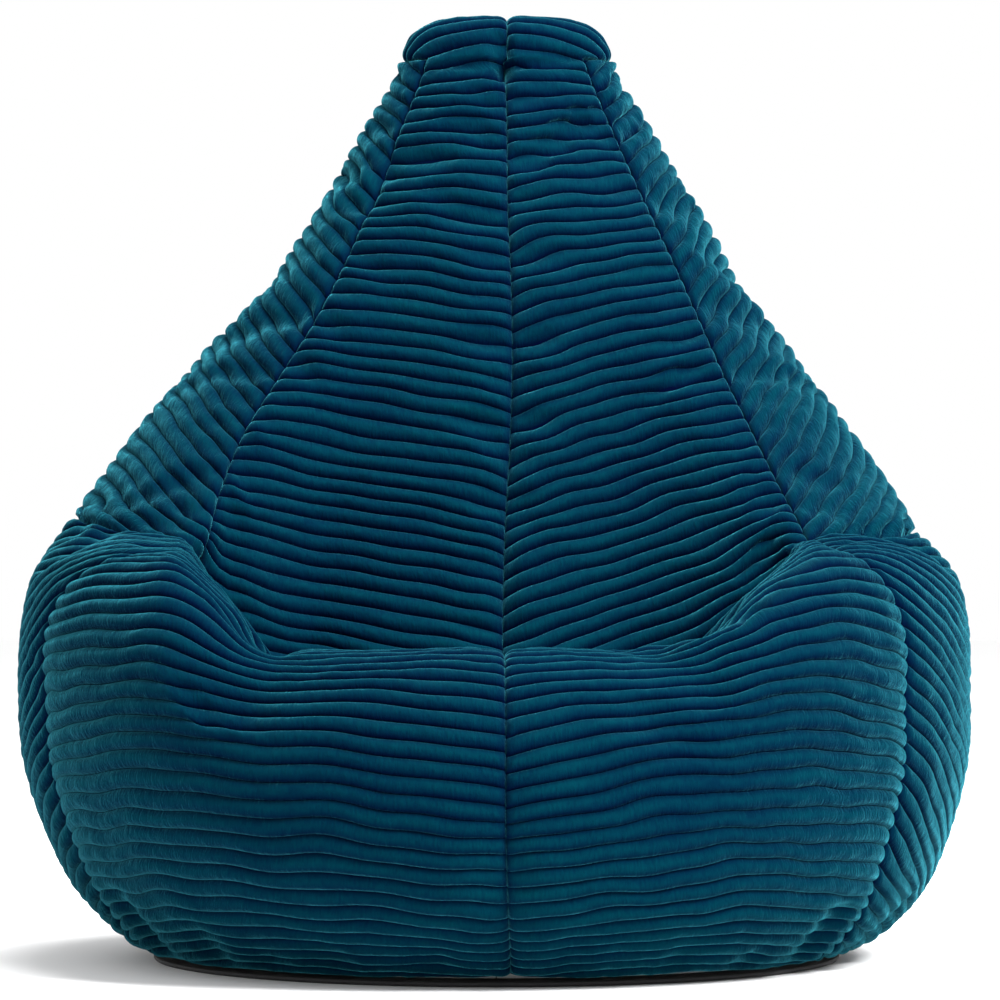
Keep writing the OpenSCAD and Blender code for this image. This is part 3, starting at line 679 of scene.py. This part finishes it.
ring = {}
for side in (1, -1):
    a, v = np.meshgrid(np.linspace(0, 180, lining["columns"]), rowPlaces, indexing="ij")
    behindZip = ease(172, 179, a) * ease(4, 5, v) * ease(-17, -16, -v)
    deep = layerDepth(a) + lining["beads"] + lining["hollow"] * behindZip
    ring[side] = layerPoint(a, v, side, deep, lining["floor"] + lining["beads"])
whole = np.concatenate([ring[1], ring[-1][1:-1][::-1]])
ids = np.arange(whole.shape[0] * whole.shape[1]).reshape(whole.shape[:2])
nxt = np.roll(ids, -1, axis=0)
quads = np.stack([ids[:, :-1], nxt[:, :-1], nxt[:, 1:], ids[:, 1:]], -1).reshape(-1, 4)
filling = makeObject("beads_filling", whole.reshape(-1, 3), quads, merge=0.02)
finishPiece(filling, "bag", ["bead_filling"], beads)

print("base")
turn = np.linspace(0, 180, 91)
edge = np.concatenate([outline(turn, np.zeros(91), 1), outline(turn[1:-1][::-1], np.zeros(89), -1)])
centre = np.array([0.0, -5, 0])
# share of the way out and height, from the middle of the underside round to the middle of the top
profile = [(0, 0.4), (0.5, 0.25), (0.9, 0.1), (0.985, 0.0), (0.994, 0.5), (0.998, 1.8), (0.998, 3.6), (0.994, 4.7),
           (0.985, 5.0), (0.5, 5.0), (0, 5.0)]
rim = np.stack([centre + (edge - centre) * [s, s, 0] + [0, 0, h] for s, h in profile], 1)
ids = np.arange(rim.shape[0] * rim.shape[1]).reshape(rim.shape[:2])
nxt = np.roll(ids, -1, axis=0)
base = makeObject("base_cloth_panel", rim.reshape(-1, 3),
                  np.stack([ids[:, :-1], nxt[:, :-1], nxt[:, 1:], ids[:, 1:]], -1).reshape(-1, 4), merge=0.02)
finishPiece(base, "bag", ["base_panel"], baseCloth)

# Small parts of the rear: zips, handle and label. Each has its own frame on the raked rear seam.
rake = np.radians(6.5602)


def onRear(points, origin):  # from the seam's frame, Y outwards and Z up the seam, to the bag's
    p = np.asarray(points, float)
    turned = np.stack([p[..., 0], p[..., 1] * np.cos(rake) - p[..., 2] * np.sin(rake),
                       p[..., 1] * np.sin(rake) + p[..., 2] * np.cos(rake)], -1)
    return turned + origin


def blocks(boxes, bevel, outlines=()):
    # boxes (x0, x1, y0, y1, z0, z1) and plates (outline, y0, y1), each with rounded edges
    work = bmesh.new()
    plates = [([(x0, z0), (x1, z0), (x1, z1), (x0, z1)], y0, y1) for x0, x1, y0, y1, z0, z1 in boxes] + list(outlines)
    for points, y0, y1 in plates:
        part = bmesh.new()
        foot = [part.verts.new((x, y0, z)) for x, z in points]
        made = bmesh.ops.extrude_face_region(part, geom=[part.faces.new(foot)])
        raised = [v for v in made["geom"] if isinstance(v, bmesh.types.BMVert)]
        bmesh.ops.translate(part, vec=(0, y1 - y0, 0), verts=raised)
        bmesh.ops.bevel(part, geom=part.edges[:], offset=bevel, segments=2, profile=0.6, affect="EDGES")
        bmesh.ops.recalc_face_normals(part, faces=part.faces)
        bmesh.ops.triangulate(part, faces=part.faces)
        mesh = bpy.data.meshes.new("part")
        part.to_mesh(mesh)
        work.from_mesh(mesh)
        bpy.data.meshes.remove(mesh)
        part.free()
    verts = np.array([v.co[:] for v in work.verts])
    faces = np.array([[v.index for v in f.verts] for f in work.faces])
    work.free()
    return verts, faces


def rearPiece(name, verts, faces, origin, bodyName, nodes, slotName, material):
    return finishPiece(makeObject(name, onRear(verts, origin), faces), bodyName, nodes, material)


# the zips: x from the middle outwards, y out from the seam, both as (from, to)
coverZip = {"origin": np.array([0, 463.0, 240]), "length": 379.5, "start": 12, "slider": 12, "tooth": 2.7, "ends": 8.5,
            "coil": (0.45, 3.2), "coilY": (-2.1, 0.1), "tape": (0.6, 6.75), "tapeY": (-2.8, -2.2),
            "stopHalf": 4.4, "stop": 4, "stopLow": 4, "stopHigh": 8}
linerZip = {"origin": np.array([0, 450.24, 351]), "length": 222.5, "tooth": 1.9, "ends": 1,
            "coil": (0.45, 2.6), "coilY": (-6.2, -5.3), "tape": (0.6, 4.75), "tapeY": (-6.7, -6.2)}
tapeCloth = plainWeave("zip tape", (0.0004, 0.003, 0.006), (0.001, 0.008, 0.013), 900, 0.9, Specular_IOR_Level=0.05)
webbingCloth = plainWeave("webbing", (0.0006, 0.0008, 0.001), (0.004, 0.0045, 0.005), 620, 0.8, 0.0006,
                          Specular_IOR_Level=0.1)
patchCloth = plainWeave("patch cloth", (0.0001, 0.003, 0.009), (0.0004, 0.013, 0.022), 420, 0.9,
                        Specular_IOR_Level=0.03)
labelCloth = plainWeave("label satin", (0.34, 0.34, 0.33), (0.55, 0.55, 0.54), 1500, 0.5, 0.0001)


def moulded(name, colour, rough, **fixed):  # plastic or thread: faintly mottled, with a fine grain
    s = Shader(name, colour, rough, **fixed)
    grain = s.noise(s.coordinates(), 1400, 3)
    s.feed("Base Color", s.ramp(grain, [(0.3, tuple(c * 0.8 for c in colour)), (0.7, tuple(c * 1.2 for c in colour))]))
    s.feed("Roughness", grain * 0.2 + (rough - 0.1))
    s.bump(grain, 0.00003, 0.5)
    return s.material


nylon = moulded("nylon coil", (0.001, 0.006, 0.01), 0.5, Specular_IOR_Level=0.25)
whiteNylon = moulded("white nylon", (0.5, 0.5, 0.49), 0.5)
thread = moulded("thread", (0.0006, 0.012, 0.02), 0.7, Specular_IOR_Level=0.1)


def metal(name, colour, rough):  # cast metal with fine scratches
    s = Shader(name, colour, rough, Metallic=0.9)
    grain = s.noise(s.scaled(s.coordinates(), (900, 4000, 900)), 1, 3)
    s.feed("Roughness", grain * 0.25 + (rough - 0.1))
    s.bump(grain, 0.00004, 0.5)
    return s.material


sliderMetal = metal("dark cast metal", (0.12, 0.13, 0.14), 0.38)
whiteMetal = metal("pale cast metal", (0.62, 0.62, 0.63), 0.4)


def coil(side, x0, x1, y0, y1, z0, z1, tooth):  # a row of coil: a rounded section that swells once a tooth
    z = np.linspace(z0, z1, int((z1 - z0) / tooth * 6) + 1)
    round12 = np.linspace(0, 2 * np.pi, 13)[:-1]
    swell = 0.86 + 0.14 * np.cos(2 * np.pi * (z - z0) / tooth + (np.pi if side < 0 else 0))
    swell[[0, -1]] = 0.55
    turns = np.stack([np.cos(round12), np.sin(round12)], -1)
    section = np.sign(turns) * np.abs(turns) ** 0.7 / 2
    x = (x0 + x1) / 2 + section[:, 0, None] * (x1 - x0) * swell
    y = (y0 + y1) / 2 + section[:, 1, None] * (y1 - y0) * swell
    rim = np.stack([side * x, y, np.broadcast_to(z, x.shape)], -1)
    ids = np.arange(rim.shape[0] * rim.shape[1]).reshape(rim.shape[:2])
    nxt = np.roll(ids, -1, axis=0)
    quads = np.stack([ids[:, :-1], ids[:, 1:], nxt[:, 1:], nxt[:, :-1]], -1).reshape(-1, 4)
    middle = ids.size + np.arange(2)
    fans = np.concatenate([np.stack([np.full(12, middle[0]), ids[:, 0], nxt[:, 0]], -1),
                           np.stack([np.full(12, middle[1]), nxt[:, -1], ids[:, -1]], -1)])
    tris = np.concatenate([halved(quads), fans])
    return np.concatenate([rim.reshape(-1, 3), rim[:, [0, -1]].mean(0)]), tris if side > 0 else tris[:, ::-1]


def tape(x0, x1, y0, y1, length, side):  # a flat strip with softened edges
    x, z = np.meshgrid(np.linspace(x0, x1, 7), np.linspace(0, length, 90), indexing="ij")
    edge = 0.5 * (y1 - y0) * (1 - 0.6 * (np.abs((x - x0) / (x1 - x0) - 0.5) * 2) ** 6)
    mid = (y0 + y1) / 2 + 0.04 * np.sin(z / 11) * (x - x0) / (x1 - x0)
    front, back = np.stack([side * x, mid + edge, z], -1), np.stack([side * x, mid - edge, z], -1)
    return slab(back, front) if side > 0 else slab(front, back)


def zipHalf(z, side):  # one side's tape, and the points and faces of its coil
    return (tape(*z["tape"], *z["tapeY"], z["length"], side),
            coil(side, *z["coil"], *z["coilY"], z["ends"], z["length"] - z["ends"], z["tooth"]))


print("zips")
for side in (-1, 1):
    n = sideName[side]
    strip, teeth = zipHalf(coverZip, side)
    rearPiece("zip_tape_" + n, strip["verts"], strip["faces"], coverZip["origin"], "bag", ["zip_tape_" + n],
              "zip_tape", tapeCloth)
    rearPiece("zip_coil_" + n, *teeth, coverZip["origin"], "bag", ["zip_coil_" + n], "zip_coil", nylon)
    strip, teeth = zipHalf(linerZip, side)
    verts = np.concatenate([strip["verts"], teeth[0]])
    faces = np.concatenate([halved(strip["faces"]), teeth[1] + len(strip["verts"])])
    rearPiece("liner_zip_" + n, verts, faces, linerZip["origin"], "bag", ["liner_zip_half_" + n],
              "liner_zip", whiteNylon)
for name, z in (("lower", coverZip["stopLow"]), ("upper", coverZip["length"] - coverZip["stopHigh"])):
    box = (-coverZip["stopHalf"], coverZip["stopHalf"], *coverZip["coilY"], z, z + coverZip["stop"])
    rearPiece("zip_stop_" + name, *blocks([box], 0.6), coverZip["origin"], "bag", ["zip_stop_" + name],
              "zip_coil", nylon)


def sliderMesh(x, t, tapeOut, tapeT, coilOut, coilX, bevel):
    # a shield-shaped plate of half width x and thickness t over the coils with a flange down each side,
    # a plate under the tapes and a post
    play, length = 0.35, coverZip["slider"]
    top, under = coilOut + play, tapeOut - tapeT - play
    shield = [(-0.72 * x, 0), (0.72 * x, 0), (x, 2.6), (x, 8.6), (0.62 * x, length), (0.2 * x, length),
              (0, length - 0.9), (-0.2 * x, length), (-0.62 * x, length), (-x, 8.6), (-x, 2.6)]
    lower = [(a, min(max(b, 0.5), length - 0.5)) for a, b in shield if a]
    inside, post = coilX + play, (-0.2, 0.2, under - t / 2, top + t / 2, length - 4, length - 1.4)
    flanges = [(x0, x1, tapeOut + play, top + t / 2, 2.7, 8.5) for x0, x1 in ((-x, -inside), (inside, x))]
    verts, faces = blocks([], bevel, [(shield, top, top + t), (lower, under - t, under)])
    more, moreFaces = blocks(flanges + [post], 0.08)
    return np.concatenate([verts, more]), np.concatenate([faces, moreFaces + len(verts)])


def bail(y, start, end, height, half, edge=0.25):
    # the arch that would hold a pull: height times sin(t)^0.7 over reach times cos(t), in two layers
    turn, across = np.meshgrid(np.linspace(0, np.pi, 17), np.linspace(-half, half, 5), indexing="ij")
    centre, reach = (start + end) / 2, (end - start) / 2

    def layer(lessHigh, lessLong):
        return np.stack([across, y + (height - lessHigh) * np.sin(turn) ** 0.7,
                         centre - (reach - lessLong) * np.cos(turn)], -1)

    rounded = edge - edge * (1 - (across / half) ** 4)
    return slab(layer(0.8, 0.9), layer(rounded, rounded))


for name, args, origin, slotName, material in (
        ("zip_slider", (4.7, 1.0, -2.2, 0.6, 0.1, 3.2, 0.22), coverZip["origin"], "slider_metal", sliderMetal),
        ("liner_zip_slider", (3.9, 0.6, -6.2, 0.5, -5.3, 2.6, 0.15), linerZip["origin"], "slider_white", whiteMetal)):
    verts, faces = sliderMesh(*args)
    if name == "zip_slider":
        arch = bail(1.3, 2.5, 9.5, 2.0, 1.1)
        faces = np.concatenate([faces, halved(arch["faces"]) + len(verts)])
        verts = np.concatenate([verts, arch["verts"]])
    rearPiece(name + "_cast", verts + [0, 0, coverZip["start"]], faces, origin, name, [name], slotName, material)

handle = {"origin": np.array([0, 463 - 0.115 * 516, 756.0]), "width": 38, "thick": 2, "length": 116, "across": 36,
          "patch": (52, 44), "patchOff": 0.5, "patchThick": 2.0, "curve": 232, "loopOff": 1.2, "gap": 1.5,
          "border": 4, "stitch": (2.5, 0.5, 0.6), "stitchStep": 3.2}
print("handle and label")


def sunkBy(x):  # how far the rounded rear falls away at x
    return x**2 / (2 * handle["curve"])


def patchMesh(w, h):  # a cloth rectangle with turned edges, lying on the rounded rear, dented along its stitches
    x, z = np.meshgrid(np.linspace(-w / 2, w / 2, 41), np.linspace(0, h, 35), indexing="ij")
    edge = np.minimum(np.minimum(w / 2 - np.abs(x), z), h - z)
    thick = (handle["patchThick"] * (0.45 + 0.55 * np.clip(edge / 1.2, 0, 1) ** 0.5)
             - 0.25 * np.exp(-((edge - handle["border"]) / 0.7) ** 2))
    back = handle["patchOff"] - sunkBy(x)
    return slab(np.stack([x, back, z], -1), np.stack([x, back + thick, z], -1))


w, h = handle["patch"]
plate = patchMesh(w, h)
rearPiece("handle_patch_cloth", plate["verts"], plate["faces"], handle["origin"], "bag", ["handle_patch"],
          "handle_patch", patchCloth)

# stitches along the border's four sides and its two diagonals
x1, z0, z1 = w / 2 - handle["border"], handle["border"], h - handle["border"]
corners = np.array([(-x1, z0), (x1, z0), (x1, z1), (-x1, z1), (-x1, z0), (x1, z1)])
lines = [(corners[i], corners[i + 1]) for i in range(5)] + [(corners[3], corners[1])]
stitches, stitchFaces, start = [], [], 0
sx, sy, sz = (size / 2 for size in handle["stitch"])
one, oneFaces = blocks([(-sx, sx, -sy, sy, -sz, sz)], 0.12)
for a, b in lines:
    count = int(np.linalg.norm(b - a) / handle["stitchStep"])
    way = (b - a) / np.linalg.norm(b - a)
    for k in range(count):
        c = a + (b - a) * (k + 0.5) / count
        stitches.append(np.stack([one[:, 0] * way[0] - one[:, 2] * way[1] + c[0],
                                  one[:, 1] + handle["patchOff"] + handle["patchThick"] - sunkBy(c[0]),
                                  one[:, 0] * way[1] + one[:, 2] * way[0] + c[1]], -1))
        stitchFaces.append(oneFaces + start)
        start += len(one)
sewing = makeObject("handle_stitching", onRear(np.concatenate(stitches), handle["origin"]), np.concatenate(stitchFaces))
sewing.data.materials.append(thread)
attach(sewing, "bag")


def loopMesh():
    # webbing swept down its slanting outer leg, round the bottom and up the straight inner leg
    r, t = handle["across"] / 2 - handle["thick"] / 2, handle["thick"]
    mid = np.array([handle["loopOff"] + handle["across"] / 2, handle["length"] - handle["across"] / 2])
    tip = np.array([handle["loopOff"] + 1.5 * t, 0.0])
    toTip = tip - mid
    turn = np.arctan2(toTip[1], toTip[0]) + np.arccos(r / np.linalg.norm(toTip))
    arc = np.linspace(turn, np.pi, 34)
    bottom = mid + r * np.stack([np.cos(arc), np.sin(arc)], -1)
    leg1 = tip + (bottom[0] - tip) * np.linspace(0, 1, 24)[:-1, None]
    top = np.array([handle["loopOff"] + 0.5 * t, 0.0])
    leg2 = bottom[-1] + (top - bottom[-1]) * np.linspace(0, 1, 24)[1:, None]
    path = np.concatenate([leg1, bottom, leg2])
    along = np.gradient(path, axis=0)
    side = unit(np.stack([along[:, 1], -along[:, 0]], -1))
    across = np.linspace(-1, 1, 21)
    half = t / 2 * (1 - 0.55 * np.abs(across) ** 8) * (1 - 0.06 * np.cos(across * np.pi * 5))
    layers = []
    for sign in (1, -1):
        p = path[:, None] + sign * side[:, None] * half[None, :, None]
        x = np.broadcast_to(across * handle["width"] / 2, p.shape[:2])
        layers.append(np.stack([x, p[..., 0], -p[..., 1] - handle["gap"]], -1))
    return slab(layers[0], layers[1])


strap = loopMesh()
rearPiece("carry_loop_webbing", strap["verts"], strap["faces"], handle["origin"], "carry_loop", ["carry_loop"],
          "webbing", webbingCloth)

label = {"at": np.array([363.704, 270.683, 243.762]), "turn": np.radians(34.5244), "off": 2.2, "thick": 0.7,
         "from": 0.5, "length": 46, "height": 30}


def labelMesh():  # a folded ribbon, its free end curling with the cube of the way along it
    u, z = np.meshgrid(np.linspace(label["from"], label["length"], 40),
                       np.linspace(-label["height"] / 2, label["height"] / 2, 21), indexing="ij")
    edge = np.minimum(label["height"] / 2 - np.abs(z), np.minimum(u - label["from"], label["length"] - u))
    half = label["thick"] / 2 * (0.45 + 0.55 * np.clip(edge / 0.8, 0, 1) ** 0.5)
    share = u / label["length"]
    mid = label["off"] + label["thick"] / 2 + 1.3 * share**3 * np.cos(z / 14) + 0.12 * np.sin(z / 3.1) * share
    c, n = np.cos(label["turn"]), np.sin(label["turn"])
    layers = [np.stack([(mid + s * half) * c - u * n, (mid + s * half) * n + u * c, z], -1) for s in (-1, 1)]
    return slab(layers[0] + label["at"], layers[1] + label["at"])


ribbon = labelMesh()
finishPiece(makeObject("care_label_ribbon", ribbon["verts"], ribbon["faces"]), "care_label", ["care_label"],
            labelCloth)

# Floor, light and camera.
studio = {"distance": 5.5, "height": 0.433, "sideways": 0.0052, "lens": 210.6, "shift": -0.004, "surround": 1.0,
          "floor": 12000}


def makeStage():
    line = np.linspace(-studio["floor"], studio["floor"], 13)
    x, y = np.meshgrid(line, line, indexing="ij")
    verts = np.stack([x, y, 0 * x], -1).reshape(-1, 3)
    ids = np.arange(x.size).reshape(x.shape)
    quads = np.stack([ids[:-1, :-1], ids[1:, :-1], ids[1:, 1:], ids[:-1, 1:]], -1).reshape(-1, 4)
    ground = makeObject("studio_floor", verts, quads)
    ground.data.materials.append(Shader("white floor", (0.94, 0.94, 0.94), 0.8).material)


def softbox(name, at, aim, power, size):
    data = bpy.data.lights.new(name, "AREA")
    data.energy, data.shape, data.size, data.size_y = power, "RECTANGLE", size[0], size[1]
    obj = bpy.data.objects.new(name, data)
    obj.location = at
    obj.rotation_euler = (Vector(aim) - Vector(at)).to_track_quat("-Z", "Y").to_euler()
    bpy.context.scene.collection.objects.link(obj)


makeStage()
softbox("key", (2.6, -2.2, 3.0), (0, 0, 0.4), 430, (1.4, 1.4))
softbox("fill", (-3.2, -2.6, 1.6), (0, 0, 0.4), 18, (2.5, 2.5))
softbox("top", (0.3, 0.2, 3.4), (0, 0, 0), 190, (1.8, 1.8))
world = bpy.data.worlds.new("studio")
world.use_nodes = True
world.node_tree.nodes["Background"].inputs[0].default_value = (1, 1, 1, 1)
world.node_tree.nodes["Background"].inputs[1].default_value = studio["surround"]
bpy.context.scene.world = world

cameraData = bpy.data.cameras.new("camera")
cameraData.lens = studio["lens"]
cameraData.shift_y = studio["shift"]
camera = bpy.data.objects.new("camera", cameraData)
camera.location = (studio["sideways"], -studio["distance"], studio["height"])
camera.rotation_euler = (np.pi / 2, 0, 0)
bpy.context.scene.collection.objects.link(camera)
bpy.context.scene.camera = camera
bpy.context.scene.view_settings.view_transform = "Standard"

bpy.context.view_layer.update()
print("finish", round(time.time() - started, 1), "s")
